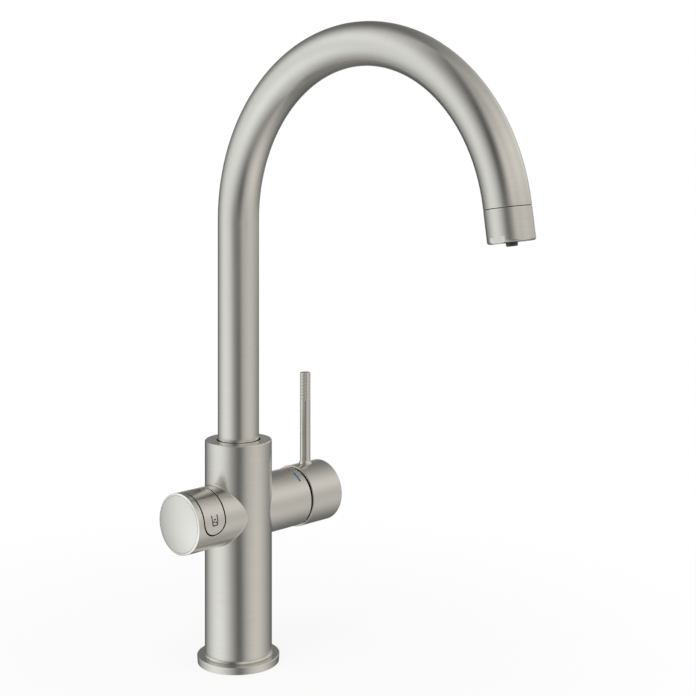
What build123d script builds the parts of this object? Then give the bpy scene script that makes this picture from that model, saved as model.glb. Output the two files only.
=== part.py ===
from build123d import *
from math import asin, cos, radians, sin, sqrt, tan
import os

# Deck-mounted kitchen tap that gives mixed tap water and filtered drinking water.
# Origin: centre of the foot, on the worktop. +Z is up, the spout reaches towards -Y,
# the filtered-water keys are on the -X arm and the mixer lever on the +X arm.
# All sizes are in millimetres.

# General fits
fit = 0.05              # radial play of a push fit or of a running fit
air = 0.3               # gap between parts that move past each other
edge = 0.6              # small chamfer on a turned edge

# Foot
base_r = 27.9           # rim of the base plate at its top edge
base_taper = 0.4        # how much smaller the rim is at the worktop
base_h = 5.3
gasket_r = 23.8         # middle of the rubber ring under the base plate
gasket_w = 3.2
gasket_h = 1.6

# Column
column_r = 22.7
column_top = 150.0
skirt_out = 0.65        # the column flares out this far where it meets the foot
skirt_h = 1.3
skirt_edge = 0.3
axis_z = 102.2          # height of the cross arms above the worktop
shaft_r = 18.6          # hollow of the column below the arms
shaft_top = 76.0
spigot_h = 3.8          # collar of the column that sits inside the base plate
spigot_wall = 1.35

# Cross arms
arm_r = 20.15
arm_wall = 2.55
arm_blend = 0.8         # fillet where an arm meets the column
mixer_end = 50.6        # open end of the mixer arm
mixer_floor = 14.0
key_end = 52.5          # outer end of the key arm
key_floor = 13.5
bevel_w = 1.35          # shallow bevel round the end of the key arm, across its face
bevel_h = 0.5           # and along the arm
lip = 0.5               # chamfer of the mixer arm beside the lever cap

# Spout: a tube bent to a C
tube_r = 14.0
tube_wall = 1.5
straight_top = 299.0    # where the straight run ends and the bend begins
bend_r = 113.9
bend_angle = 171.4
tail = 1.8              # straight bit of tube after the bend
entry_gap = 1.0         # dark ring between the tube and the column
entry_depth = 4.0       # how far the tube sinks into the column
seam = 0.35             # rubber washer between tube and outlet
outlet_len = 19.65
outlet_round = 1.3
seam_edge = 0.25        # chamfer on both sides of the outlet's seam
outlet_bore = 11.6
outlet_spigot = 8.0     # length of the outlet's collar inside the tube
flat_chord = 10.3       # width of each spanner flat
flat_h = 3.7
swing = 75.0            # the spout turns this far to each side

# Swivel seat of the spout
seat_floor = 123.0
journal_r = 13.6
spigot_bore = 9.2
spigot_reach = 30.0     # how far the spigot goes up inside the tube
bush_h = 4.2
oring_r = 1.25          # half the thickness of a spout seal
groove_play = 0.2
stop_h = 3.0
stop_lug = 16.0         # angle taken by the lug of the stop ring
stop_play = 2.0         # angle left between the lug and the end of its slot
collar_h = 0.7
grub_r = 1.4
grub_z = 166.0
grub_angle = 150.0      # direction that the spout's grub screw faces

# Filtered-water way
riser_r = 3.0
riser_wall = 0.8
riser_top = 137.0
riser_seal_r = 0.8      # half the thickness of the seal round the riser
seal_seat_h = 2.4
hose_wall = 0.95
hose_low = 127.0
nozzle_r = 3.45
nozzle_out = 2.2        # how far the nozzle shows below the outlet
nozzle_rest = 0.425     # from the jet insert up to the nozzle's wide head
nozzle_bore = 1.8
nozzle_round = 0.8
outlet_throat = 10.1    # narrower bore of the outlet above the jet insert
jet_hole_r = 0.95
jet_fine_r = 0.7
jet_land = 0.3
jet_holes = 14
jet_fine_holes = 20
spider_z = 152.0
spider_h = 4.0

# Supply side
block_h = 14.0
pipe_r = 4.0
pipe_wall = 0.8
pipe_x = 9.5
pipe_y = 7.5
pipe_socket = 3.5
port_r = 4.5            # threaded port of a hot or cold hose
port_depth = 9.5
filtered_port_r = 4.0
stud_r = 3.0            # threaded hole of a fixing stud
stud_y = 14.0
duct_r = 2.6            # way of the key cable down to the worktop
duct_x = 14.8
grommet_x = 14.2

# Mixer cartridge and lever
way_r = 3.0             # water ways drilled in the column
feed_rise = 3.6         # hot and cold ways lie this far above the arm's axis
mixed_drop = 4.4        # the mixed way lies this far below it
port_step = 0.2         # the cartridge's ports are this much smaller all round
port_seal_h = 1.0
shell_wall = 2.0
shell_base = 4.0
fixed_disc_h = 3.3
moving_disc_h = 2.65
disc_play = 0.65        # from the fully lifted disc to the wall of the housing
recess_edge = 4.0       # from the rim of the moving disc to the side of its recess
driver_h = 3.8
disc_gap = 0.05         # water film between the ceramic discs
pivot_inset = 13.6      # pivot of the lever, inside the open end of the arm
pivot_r = 2.0
stem_r = 4.0
ball_r = 2.3
ball_arm = 9.6          # from the pivot to the ball that pushes the disc
nut_h = 3.0
nut_lap = 2.0           # how far the nut reaches over the carrier
pin_inset = 2.0
dome_over = 2.9         # the dome's radius is this much larger than the housing's
dome_wall = 1.3
mouth_gap = 0.8         # room left round the fully tilted stem in the dome's mouth
lever_tilt = 20.0       # full opening of the lever

cap_gap = 0.8           # dark ring between the arm and the lever cap
cap_over = 1.1          # the cap's radius is this much larger than the arm's
cap_wall = 1.2
cap_len = 29.0
cap_lip = 0.35          # chamfer of the cap's open rim
cap_round = 1.6
cap_room = 0.4          # from the dome's top, as a whole sphere, to the floor of the cap's skirt
hub_r = 11.0
cap_plate = 5.0         # end wall of the cap
cap_thick = 3.0         # wall of the cap behind its skirt
boss_wall = 3.7
rod_r = 3.7
rod_top = 188.0
rod_x = 64.1
rod_flare = 1.0
flare_h = 2.5
rod_tang_r = 2.5
rod_tang = 7.0
cap_screw_r = 2.0
key_hole_r = 1.4
mark_x = 43.8
mark_w = 1.5
mark_sink = 0.2
mark_span = 25.5
cold_from = 21.3        # the blue mark starts this far forward of the top
hot_from = -12.2

# Filtered-water keys
band_w = 17.0
band_x = 38.5           # middle of the key band along the arm
band_thick = 1.9
band_low = 2.7          # its round ends are centred this far above the axis
band_gap = 1.05
band_inset = 0.05
rock_drop = 2.2         # the rocker pin's axis lies this far below the inside of the band
rock_pin_r = 1.0
rock_pin_len = 12.0
lug_w = 6.0
lug_y = 5.2
lug_under = 2.2         # the lug reaches this far below the rocker pin's axis
ear_over = 1.2          # and the ears this far above it
ear_w = 2.6
yoke_y = 6.0
yoke_drop = 8.0         # from the rocker pin's axis down to the yoke's plate
yoke_plate_h = 2.0
yoke_stem = 6.0
stem_reach = 5.0        # the yoke's stem reaches this far below the top of the deck
spring_room = 4.2       # from the yoke's plate down to the top of the chassis deck
deck_h = 2.0
chassis_wall = 2.0
chassis_floor = 2.0
board_drop = 9.8        # from the top of the deck down to the underside of the board
board_h = 1.6
board_rest = 0.8        # width of the ledge under each side of the board
switch_w = 6.0
pad_r = 2.0
pad_angle = 70.0        # the side switches lie this far round from the top
pad_gap = 0.45          # from a side switch to the inside of the band
socket_w = 12.0
socket_d = 6.0
socket_h = 3.0
socket_wall = 0.75
notch_w = 8.0           # opening in the chassis above the cable duct
notch_d = 5.2
spring_wire = 0.5
spring_r = 5.0
spring_turns = 3.5
face_gap = 0.15         # thin dark line round the end disc
face_ledge = 0.1
face_thick = 2.3
face_crown = 1.9        # the disc's middle stands this far out
face_skirt = 2.3
screw_inset = 6.3       # from the rim of the chassis to a screw's axis
screw_drop = 5.0        # from the top of the deck down to a screw's axis
screw_r = 1.5
screw_head_r = 2.6
screw_head_h = 1.8
screw_len = 9.0
icon_h = 7.1
icon_top_w = 5.5
icon_foot_w = 4.9
icon_line = 0.75
icon_sink = 0.2
icon_angle = 80.0       # the side icons lie this far round from the top
bubble_r = 0.62
bubble_spots = ((0.9, -1.35), (0.1, 0.6), (-0.9, -0.85))

# Places worked out from the sizes above
tube_bore = tube_r - tube_wall
seat_r = tube_r + entry_gap
tube_low = column_top - entry_depth
chamber_r = arm_r - arm_wall
pivot_x = mixer_end - pivot_inset
seal_end = mixer_floor + port_seal_h
shell_in = seal_end + shell_base
fixed_end = shell_in + fixed_disc_h
moving_low = fixed_end + disc_gap
moving_end = moving_low + moving_disc_h
driver_end = moving_end + driver_h
shell_r = chamber_r - 2 * fit
shell_bore = shell_r - shell_wall
tilt = radians(lever_tilt)
disc_r = shell_bore - ball_arm * tilt - disc_play
carrier_low = driver_end + air
dome_reach = shell_r + dome_over
dome_seat = pivot_x + sqrt(dome_reach**2 - shell_r**2)
nut_low = dome_seat - nut_h
carrier_end = nut_low - air
carrier_r = shell_bore - air
dome_mouth = dome_reach * sin(tilt + asin(stem_r / dome_reach)) + mouth_gap
tilt_room = (carrier_end - pivot_x) * tan(tilt) + stem_r / cos(tilt) + 2 * air
cap_r = arm_r + cap_over
rim_x = mixer_end + cap_gap
cap_floor = pivot_x + dome_reach + cap_room
hose_bore = riser_r + fit
hose_r = hose_bore + hose_wall
band_r = arm_r - band_inset
band_in = band_r - band_thick
rock_z = band_in - rock_drop
yoke_plate_z = rock_z - yoke_drop
deck_z = yoke_plate_z - spring_room
board_z = board_drop - deck_z
stem_foot = axis_z + deck_z - stem_reach
chassis_r = chamber_r - air
screw_y = chassis_r - screw_inset
screw_z = deck_z - screw_drop
chassis_screw_spots = ((-screw_y, screw_z), (screw_y, screw_z))
chassis_end = key_end - face_thick - face_skirt
board_w = 2 * sqrt((chassis_r - chassis_wall) ** 2 - board_z**2) - 2 * air
jet_ring_out = outlet_bore - 2 * edge - jet_fine_r - jet_land
jet_ring_in = jet_ring_out - jet_fine_r - jet_hole_r - 2 * jet_land
block_r = shaft_r - 2 * fit

# Planes. On an arm's plane the local y is up; an offset runs out along the arm.
mixer_arm = Plane(origin=(0, 0, axis_z), x_dir=(0, 1, 0), z_dir=(1, 0, 0))
key_arm = Plane(origin=(0, 0, axis_z), x_dir=(0, -1, 0), z_dir=(-1, 0, 0))
front_cut = Plane(origin=(0, 0, axis_z), x_dir=(1, 0, 0), z_dir=(0, -1, 0))
arm_axis = Axis((0, 0, axis_z), (1, 0, 0))
pivot_plane = Plane(origin=(pivot_x, 0, axis_z), x_dir=(1, 0, 0), z_dir=(0, -1, 0))
grub_way = (cos(radians(grub_angle)), sin(radians(grub_angle)), 0)
grub_plane = Plane(origin=(0, 0, grub_z), x_dir=(0, 0, 1), z_dir=grub_way)

with BuildLine(Plane.YZ) as spout_path:
    rise = Line((0, tube_low), (0, straight_top))
    bow = JernArc(start=rise @ 1, tangent=rise % 1, radius=bend_r, arc_size=bend_angle)
    run = Line(bow @ 1, bow @ 1 + (bow % 1) * tail)

tail_dir = spout_path.line % 1
tube_end = Plane(origin=spout_path.line @ 1, x_dir=(1, 0, 0), z_dir=tail_dir)
outlet_top = tube_end.offset(seam)
outlet_face = outlet_top.offset(outlet_len)
insert_reach = outlet_len / 2 - 2 * seam
head_h = pipe_socket + hose_wall
nozzle_len = nozzle_out + insert_reach + nozzle_rest + head_h


def ring(outer, inner):
    """A flat ring in the sketch that is open."""
    Circle(outer)
    Circle(inner, mode=Mode.SUBTRACT)


def sector(outer, inner, start, span):
    """A piece of a flat ring, from the angle start over the angle span."""
    with BuildLine() as outline:
        far = CenterArc((0, 0), outer, start, span)
        near = CenterArc((0, 0), inner, start, span)
        Line(far @ 0, near @ 0)
        Line(far @ 1, near @ 1)
    make_face(outline.edges())


def band_outline(grow):
    """Side view of the key band, grown by a gap; it wraps over the top of the arm."""
    half = band_w / 2 + grow
    with Locations((-band_x, band_low)):
        Circle(half)
        Rectangle(2 * half, 2 * arm_r, align=(Align.CENTER, Align.MIN))


def tumbler(bubbles):
    """Line drawing of a glass, open at the top, with a number of bubbles in it."""
    with BuildSketch(mode=Mode.PRIVATE) as outside:
        with BuildLine():
            Polyline(
                (-icon_top_w / 2, icon_h / 2),
                (-icon_foot_w / 2, -icon_h / 2),
                (icon_foot_w / 2, -icon_h / 2),
                (icon_top_w / 2, icon_h / 2),
                close=True,
            )
        make_face()
        fillet(outside.vertices().group_by(Axis.Y)[0], icon_foot_w / 4)
    with BuildSketch(mode=Mode.PRIVATE) as inside:
        with Locations((0, icon_line)):
            add(outside.sketch)
        scale(by=((icon_foot_w - 2 * icon_line) / icon_foot_w, 1, 1))
    add(outside.sketch)
    add(inside.sketch, mode=Mode.SUBTRACT)
    if bubbles:
        with Locations(*bubble_spots[:bubbles]):
            Circle(bubble_r)


# Foot: a turned base plate with a rubber ring let into its underside
with BuildPart() as base_flange:
    with BuildSketch(Plane.XZ):
        with BuildLine():
            Polyline(
                (shaft_r + spigot_wall + fit, 0),
                (base_r - base_taper, 0),
                (base_r, base_h),
                (shaft_r + spigot_wall + fit, base_h),
                close=True,
            )
        make_face()
    revolve(axis=Axis.Z)
    fillet(base_flange.edges().group_by(Axis.Z)[-1].sort_by(SortBy.LENGTH)[-1], edge)
    with BuildSketch(Plane.XY):
        ring(gasket_r + gasket_w / 2 + fit, gasket_r - gasket_w / 2 - fit)
    extrude(amount=gasket_h, mode=Mode.SUBTRACT)

with BuildPart() as base_gasket:
    with BuildSketch(Plane.XY):
        ring(gasket_r + gasket_w / 2, gasket_r - gasket_w / 2)
    extrude(amount=gasket_h)

# Small printed marks beside the lever: blue in front for cold, red behind for hot
marks = {}
for colour, start in (("cold", cold_from), ("hot", hot_from)):
    with BuildPart() as mark:
        with BuildSketch(mixer_arm.offset(mark_x)):
            sector(arm_r, arm_r - mark_sink, 90 + start, mark_span)
        extrude(amount=mark_w)
    marks[colour] = mark

# Column: one casting with both arms, the swivel seat, the chambers and the water ways
with BuildPart() as body_column:
    with BuildSketch(Plane.XY.offset(base_h)):
        Circle(column_r)
    extrude(amount=column_top - base_h)
    with Locations((0, 0, base_h + skirt_h / 2)):
        Cone(column_r + skirt_out, column_r, skirt_h)
    with BuildSketch(mixer_arm):
        Circle(arm_r)
    extrude(amount=mixer_end)
    with BuildSketch(key_arm):
        Circle(arm_r)
    extrude(amount=key_end)
    seams = [
        e
        for e in body_column.edges()
        if e.geom_type not in (GeomType.CIRCLE, GeomType.LINE)
    ]
    fillet(seams, arm_blend)
    chamfer(body_column.faces().sort_by(Axis.Z)[-1].edges(), edge)
    chamfer(body_column.faces().sort_by(Axis.Z)[0].edges(), skirt_edge)
    key_face = body_column.faces().sort_by(Axis.X)[0]
    chamfer(key_face.edges(), length=bevel_w, length2=bevel_h, reference=key_face)
    chamfer(body_column.faces().sort_by(Axis.X)[-1].edges(), lip)
    with BuildSketch(Plane.XY.offset(base_h - spigot_h)):
        Circle(shaft_r + spigot_wall)
    extrude(amount=spigot_h)
    # hollow shaft and swivel seat
    with BuildSketch(Plane.XY.offset(base_h - spigot_h)):
        Circle(shaft_r)
    extrude(amount=shaft_top - base_h + spigot_h, mode=Mode.SUBTRACT)
    with BuildSketch(Plane.XY.offset(seat_floor)):
        Circle(seat_r)
    extrude(amount=column_top - seat_floor, mode=Mode.SUBTRACT)
    # chambers of the two arms
    with BuildSketch(mixer_arm.offset(mixer_floor)):
        Circle(chamber_r)
    extrude(amount=mixer_end - mixer_floor, mode=Mode.SUBTRACT)
    with BuildSketch(key_arm.offset(key_floor)):
        Circle(chamber_r)
    extrude(amount=key_end - key_floor, mode=Mode.SUBTRACT)
    with BuildSketch(key_arm.offset(key_end - face_thick)):
        Circle(arm_r - bevel_w - face_ledge)
    extrude(amount=face_thick, mode=Mode.SUBTRACT)
    # water ways: hot and cold up from the pipes, mixed water to the spout
    with BuildSketch(Plane.XY.offset(shaft_top)):
        with GridLocations(0, 2 * pipe_y, 1, 2):
            with Locations((pipe_x, 0)):
                Circle(pipe_r + fit)
    extrude(amount=pipe_socket, mode=Mode.SUBTRACT)
    with BuildSketch(Plane.XY.offset(shaft_top)):
        with GridLocations(0, 2 * pipe_y, 1, 2):
            with Locations((pipe_x, 0)):
                Circle(way_r)
    extrude(amount=axis_z + feed_rise - shaft_top, mode=Mode.SUBTRACT)
    with BuildSketch(mixer_arm.offset(pipe_x)):
        with Locations((-pipe_y, feed_rise), (pipe_y, feed_rise)):
            Circle(way_r)
    extrude(amount=mixer_floor - pipe_x, mode=Mode.SUBTRACT)
    with BuildSketch(mixer_arm):
        with Locations((0, -mixed_drop)):
            Circle(way_r)
    extrude(amount=mixer_floor, mode=Mode.SUBTRACT)
    with BuildSketch(Plane.XY.offset(axis_z - mixed_drop - way_r)):
        Circle(2 * way_r)
    extrude(amount=seat_floor - axis_z + mixed_drop + way_r, mode=Mode.SUBTRACT)
    # way of the filtered-water pipe, with a seat for its seal
    with BuildSketch(Plane.XY.offset(shaft_top)):
        Circle(riser_r + fit)
    extrude(amount=seat_floor - shaft_top, mode=Mode.SUBTRACT)
    with BuildSketch(Plane.XY.offset(shaft_top)):
        Circle(riser_r + 2 * riser_seal_r)
    extrude(amount=seal_seat_h, mode=Mode.SUBTRACT)
    # cable duct down from the key chamber
    with BuildSketch(Plane.XY.offset(shaft_top)):
        with Locations((-duct_x, 0)):
            Circle(duct_r)
    extrude(amount=axis_z - chamber_r + duct_r - shaft_top, mode=Mode.SUBTRACT)
    # screw holes for the key chassis, in the floor of its chamber
    with BuildSketch(key_arm.offset(key_floor - screw_len)):
        with Locations(*chassis_screw_spots):
            Circle(screw_r + fit)
    extrude(amount=screw_len, mode=Mode.SUBTRACT)
    # window of the key band, over the top of the arm
    with BuildSketch(front_cut):
        band_outline(band_gap)
    extrude(amount=2 * arm_r, both=True, mode=Mode.SUBTRACT)
    add(marks["cold"].part, mode=Mode.SUBTRACT)
    add(marks["hot"].part, mode=Mode.SUBTRACT)

# Supply side: the threaded inlet block, its pipes and the cable gland
with BuildPart() as inlet_block:
    with BuildSketch(Plane.XY):
        Circle(block_r)
    extrude(amount=block_h)
    with BuildSketch(Plane.XY):
        with Locations((pipe_x, pipe_y), (pipe_x, -pipe_y)):
            Circle(port_r)
    extrude(amount=port_depth, mode=Mode.SUBTRACT)
    with BuildSketch(Plane.XY):
        with Locations((pipe_x, pipe_y), (pipe_x, -pipe_y)):
            Circle(pipe_r - pipe_wall)
    extrude(amount=block_h, mode=Mode.SUBTRACT)
    with BuildSketch(Plane.XY.offset(block_h - pipe_socket)):
        with Locations((pipe_x, pipe_y), (pipe_x, -pipe_y)):
            Circle(pipe_r + fit)
    extrude(amount=pipe_socket, mode=Mode.SUBTRACT)
    with BuildSketch(Plane.XY):
        Circle(filtered_port_r)
    extrude(amount=port_depth, mode=Mode.SUBTRACT)
    with BuildSketch(Plane.XY):
        Circle(riser_r - riser_wall)
    extrude(amount=block_h, mode=Mode.SUBTRACT)
    with BuildSketch(Plane.XY.offset(block_h - pipe_socket)):
        Circle(riser_r + fit)
    extrude(amount=pipe_socket, mode=Mode.SUBTRACT)
    with BuildSketch(Plane.XY):
        with Locations((0, stud_y), (0, -stud_y)):
            Circle(stud_r)
    extrude(amount=block_h, mode=Mode.SUBTRACT)
    with BuildSketch(Plane.XY):
        with Locations((-grommet_x, 0)):
            Circle(duct_r)
    extrude(amount=block_h, mode=Mode.SUBTRACT)

with BuildPart() as cable_grommet:
    with BuildSketch(Plane.XY.offset(edge)):
        with Locations((-grommet_x, 0)):
            ring(duct_r - fit, duct_r / 2)
    extrude(amount=block_h - edge)
    with BuildSketch(Plane.XY.offset(block_h)):
        with Locations((-grommet_x, 0)):
            ring(duct_r + edge, duct_r / 2)
    extrude(amount=edge)

supply_pipes = {}
for name, side in (("hot_pipe", 1), ("cold_pipe", -1)):
    with BuildPart() as pipe:
        with BuildSketch(Plane.XY.offset(block_h - pipe_socket)):
            with Locations((pipe_x, side * pipe_y)):
                ring(pipe_r, pipe_r - pipe_wall)
        extrude(amount=shaft_top - block_h + 2 * pipe_socket)
    supply_pipes[name] = pipe

with BuildPart() as filtered_riser:
    with BuildSketch(Plane.XY.offset(block_h - pipe_socket)):
        ring(riser_r, riser_r - riser_wall)
    extrude(amount=riser_top - block_h + pipe_socket)

with BuildPart() as riser_seal:
    with BuildSketch(Plane.XZ):
        seal_z = shaft_top + seal_seat_h - riser_seal_r
        with Locations((riser_r + riser_seal_r + fit / 2, seal_z)):
            Circle(riser_seal_r - fit / 2)
    revolve(axis=Axis.Z)

# Swivel seat: two plastic bushes and the ring that stops the spout at each side
upper_bush_low = tube_low - collar_h - air - bush_h
stop_low = (seat_floor + upper_bush_low + bush_h - stop_h) / 2
bushes = {}
for name, low in (("spout_bush_lower", seat_floor), ("spout_bush_upper", upper_bush_low)):
    with BuildPart() as bush:
        with BuildSketch(Plane.XY.offset(low)):
            ring(seat_r - fit, journal_r + fit)
        extrude(amount=bush_h)
    bushes[name] = bush

with BuildPart() as spout_stop_ring:
    with BuildSketch(Plane.XY.offset(stop_low)):
        ring(seat_r - fit, journal_r + fit)
        sector(seat_r - 2 * fit, journal_r - 2 * oring_r + air, 90 - stop_lug / 2, stop_lug)
    extrude(amount=stop_h)

# Spout: the bent tube, its turned spigot and what holds them together
with BuildPart() as spout_tube:
    with BuildSketch(Plane.XY.offset(tube_low)):
        ring(tube_r, tube_bore)
    sweep(path=spout_path.line)
    with BuildSketch(grub_plane):
        Circle(grub_r + fit)
    extrude(amount=2 * tube_r, mode=Mode.SUBTRACT)
    tube_mouth = spout_tube.faces().sort_by(Axis(tube_end.location))[-1]
    chamfer(tube_mouth.edges().sort_by(SortBy.RADIUS)[-1], seam_edge)

groove_h = 2 * oring_r + groove_play
groove_lows = (
    (seat_floor + bush_h + stop_low - groove_h) / 2,
    (stop_low + stop_h + upper_bush_low - groove_h) / 2,
)
groove_r = seat_r - fit - 2 * oring_r
with BuildPart() as swivel_spigot:
    with BuildSketch(Plane.XY.offset(seat_floor + air)):
        Circle(journal_r)
    extrude(amount=tube_low - seat_floor - air)
    with BuildSketch(Plane.XY.offset(tube_low - collar_h)):
        Circle(tube_r - fit)
    extrude(amount=collar_h)
    with BuildSketch(Plane.XY.offset(tube_low)):
        Circle(tube_bore - fit)
    extrude(amount=spigot_reach)
    with BuildSketch(Plane.XY.offset(seat_floor)):
        Circle(spigot_bore)
    extrude(amount=tube_low + spigot_reach, mode=Mode.SUBTRACT)
    for low in groove_lows:
        with BuildSketch(Plane.XY.offset(low)):
            ring(journal_r, groove_r)
        extrude(amount=groove_h, mode=Mode.SUBTRACT)
    with BuildSketch(Plane.XY.offset(stop_low - air)):
        half_slot = swing + stop_lug / 2 + stop_play
        sector(journal_r + fit, journal_r - 2 * oring_r, 90 - half_slot, 2 * half_slot)
    extrude(amount=stop_h + 2 * air, mode=Mode.SUBTRACT)
    with BuildSketch(grub_plane):
        Circle(grub_r + fit)
    extrude(amount=2 * tube_r, mode=Mode.SUBTRACT)

with BuildPart() as spigot_o_rings:
    with BuildSketch(Plane.XZ):
        for low in groove_lows:
            with Locations((groove_r + oring_r, low + groove_h / 2)):
                Circle(oring_r - fit)
    revolve(axis=Axis.Z)

with BuildPart() as spout_grub_screw:
    with BuildSketch(grub_plane.offset(spigot_bore + air)):
        Circle(grub_r)
    extrude(amount=tube_r - spigot_bore - air - tube_wall / 3)
    with BuildSketch(grub_plane.offset(tube_bore)):
        RegularPolygon(grub_r / 2, 6)
    extrude(amount=tube_wall, mode=Mode.SUBTRACT)

# Filtered-water hose, run through the whole spout apart from the tap water
nozzle_top = outlet_face.offset(nozzle_out - nozzle_len)
hose_end_gap = (outlet_len + seam + nozzle_out - nozzle_len) + pipe_socket
with BuildLine(Plane.YZ) as hose_path:
    hose_rise = Line((0, hose_low), (0, straight_top))
    hose_bow = JernArc(
        start=hose_rise @ 1, tangent=hose_rise % 1, radius=bend_r, arc_size=bend_angle
    )
    Line(hose_bow @ 1, hose_bow @ 1 + (hose_bow % 1) * (tail + hose_end_gap))

with BuildPart() as filtered_hose:
    with BuildSketch(Plane.XY.offset(hose_low)):
        ring(hose_r, hose_bore)
    sweep(path=hose_path.line)

with BuildPart() as hose_spider:
    with BuildSketch(Plane.XY.offset(spider_z)):
        ring(spigot_bore - fit, spigot_bore - hose_wall)
        ring(hose_r + fit + hose_wall, hose_r + fit)
        spoke_in = hose_r + fit + hose_wall / 2
        spoke_out = spigot_bore - hose_wall / 2
        with PolarLocations((spoke_in + spoke_out) / 2, 3):
            Rectangle(spoke_out - spoke_in, 2 * hose_wall)
    extrude(amount=spider_h)

# Outlet: screwed head, jet insert and the dark filtered-water nozzle in its middle
with BuildPart() as seam_washer:
    with BuildSketch(tube_end):
        ring(tube_r - seam, tube_bore)
    extrude(amount=seam)

with BuildPart() as outlet_head:
    with BuildSketch(outlet_top):
        Circle(tube_r)
    extrude(amount=outlet_len)
    rims = outlet_head.edges().filter_by(GeomType.CIRCLE).sort_by(Axis(outlet_face.location))
    fillet(rims[-1], outlet_round)
    chamfer(rims[0], seam_edge)
    with BuildSketch(outlet_top.offset(-outlet_spigot)):
        Circle(tube_bore - air)
    extrude(amount=outlet_spigot)
    with BuildSketch(outlet_top.offset(-outlet_spigot)):
        Circle(outlet_throat)
    extrude(amount=outlet_spigot + outlet_len, mode=Mode.SUBTRACT)
    with BuildSketch(outlet_face.offset(-outlet_len / 2)):
        Circle(outlet_bore)
    extrude(amount=outlet_len / 2, mode=Mode.SUBTRACT)
    flat_x = sqrt(tube_r**2 - (flat_chord / 2) ** 2)
    with BuildSketch(outlet_face.offset(-flat_h)):
        with Locations((flat_x + tube_r, 0), (-flat_x - tube_r, 0)):
            Rectangle(2 * tube_r, 2 * tube_r)
    extrude(amount=flat_h + fit, mode=Mode.SUBTRACT)

jet_top = outlet_face.offset(-insert_reach)
jet_len = insert_reach - edge
with BuildPart() as jet_gasket:
    with BuildSketch(outlet_face.offset(-outlet_len / 2)):
        ring(outlet_bore - fit, outlet_throat)
    extrude(amount=2 * seam)

with BuildPart() as jet_insert:
    with BuildSketch(jet_top):
        ring(outlet_bore - fit, nozzle_r + fit)
    extrude(amount=jet_len)
    with BuildSketch(jet_top):
        with PolarLocations(jet_ring_in, jet_holes):
            Circle(jet_hole_r)
        with PolarLocations(jet_ring_out, jet_fine_holes):
            Circle(jet_fine_r)
    extrude(amount=jet_len, mode=Mode.SUBTRACT)
    with BuildSketch(jet_top.offset(jet_len - edge)):
        ring(outlet_bore - 2 * edge, nozzle_r + edge)
    extrude(amount=edge, mode=Mode.SUBTRACT)

with BuildPart() as filtered_nozzle:
    with BuildSketch(nozzle_top):
        ring(nozzle_r, nozzle_bore)
    extrude(amount=nozzle_len)
    tip = filtered_nozzle.edges().filter_by(GeomType.CIRCLE)
    tip = tip.group_by(Axis(outlet_face.location))[-1]
    fillet(tip.sort_by(SortBy.RADIUS)[-1], nozzle_round)
    with BuildSketch(nozzle_top):
        ring(hose_r + fit + hose_wall, nozzle_r)
    extrude(amount=head_h)
    with BuildSketch(nozzle_top):
        Circle(hose_r + fit)
    extrude(amount=pipe_socket, mode=Mode.SUBTRACT)

# Mixer cartridge: seal, housing, ceramic discs, turning carrier and the nut over them
def cartridge_ports(radius):
    """The hot, cold and mixed ports, as seen along the arm."""
    with Locations((-pipe_y, feed_rise), (pipe_y, feed_rise), (0, -mixed_drop)):
        Circle(radius, mode=Mode.SUBTRACT)


with BuildPart() as cartridge_seal:
    with BuildSketch(mixer_arm.offset(mixer_floor)):
        Circle(shell_r)
        cartridge_ports(way_r)
    extrude(amount=port_seal_h)

with BuildPart() as cartridge_housing:
    with BuildSketch(mixer_arm.offset(seal_end)):
        Circle(shell_r)
        cartridge_ports(way_r - port_step)
    extrude(amount=shell_base)
    with BuildSketch(mixer_arm.offset(shell_in)):
        ring(shell_r, shell_bore)
    extrude(amount=nut_low - shell_in)

with BuildPart() as fixed_disc:
    with BuildSketch(mixer_arm.offset(shell_in)):
        Circle(shell_bore - fit)
        cartridge_ports(way_r - port_step)
    extrude(amount=fixed_disc_h)

with BuildPart() as moving_disc:
    with BuildSketch(mixer_arm.offset(moving_low)):
        Circle(disc_r)
    extrude(amount=moving_disc_h)
    # mixing recess, which slides over the hot and cold ports when the lever opens
    with BuildSketch(mixer_arm.offset(moving_low)):
        with Locations((0, -feed_rise)):
            recess_w = 2 * (disc_r - recess_edge)
            RectangleRounded(recess_w, 2 * (way_r + port_step), way_r - port_step)
    extrude(amount=moving_disc_h / 2, mode=Mode.SUBTRACT)

with BuildPart() as disc_driver:
    with BuildSketch(mixer_arm.offset(moving_end)):
        ring(disc_r, ball_r + air + 3 * fit)
    extrude(amount=driver_h)

with BuildPart() as mixer_carrier:
    with BuildSketch(mixer_arm.offset(carrier_low)):
        Circle(carrier_r)
        Rectangle(2 * (stem_r + 2 * fit), 2 * tilt_room, mode=Mode.SUBTRACT)
    extrude(amount=carrier_end - carrier_low)
    with BuildSketch(pivot_plane):
        Circle(pivot_r + fit / 2)
    extrude(amount=carrier_r, both=True, mode=Mode.SUBTRACT)

with BuildPart() as lever_pivot_pin:
    with BuildSketch(pivot_plane):
        Circle(pivot_r)
    extrude(amount=carrier_r - pin_inset, both=True)

with BuildPart() as cartridge_nut:
    with BuildSketch(mixer_arm.offset(nut_low)):
        ring(shell_r, carrier_r - nut_lap)
    extrude(amount=nut_h)

with BuildPart() as dome_cover:
    with BuildSketch(front_cut):
        with Locations((pivot_x, 0)):
            ring(dome_reach, dome_reach - dome_wall)
        with Locations((dome_seat, dome_mouth)):
            Rectangle(
                dome_reach,
                shell_r - dome_mouth,
                align=(Align.MIN, Align.MIN),
                mode=Mode.INTERSECT,
            )
    revolve(axis=arm_axis)

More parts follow.
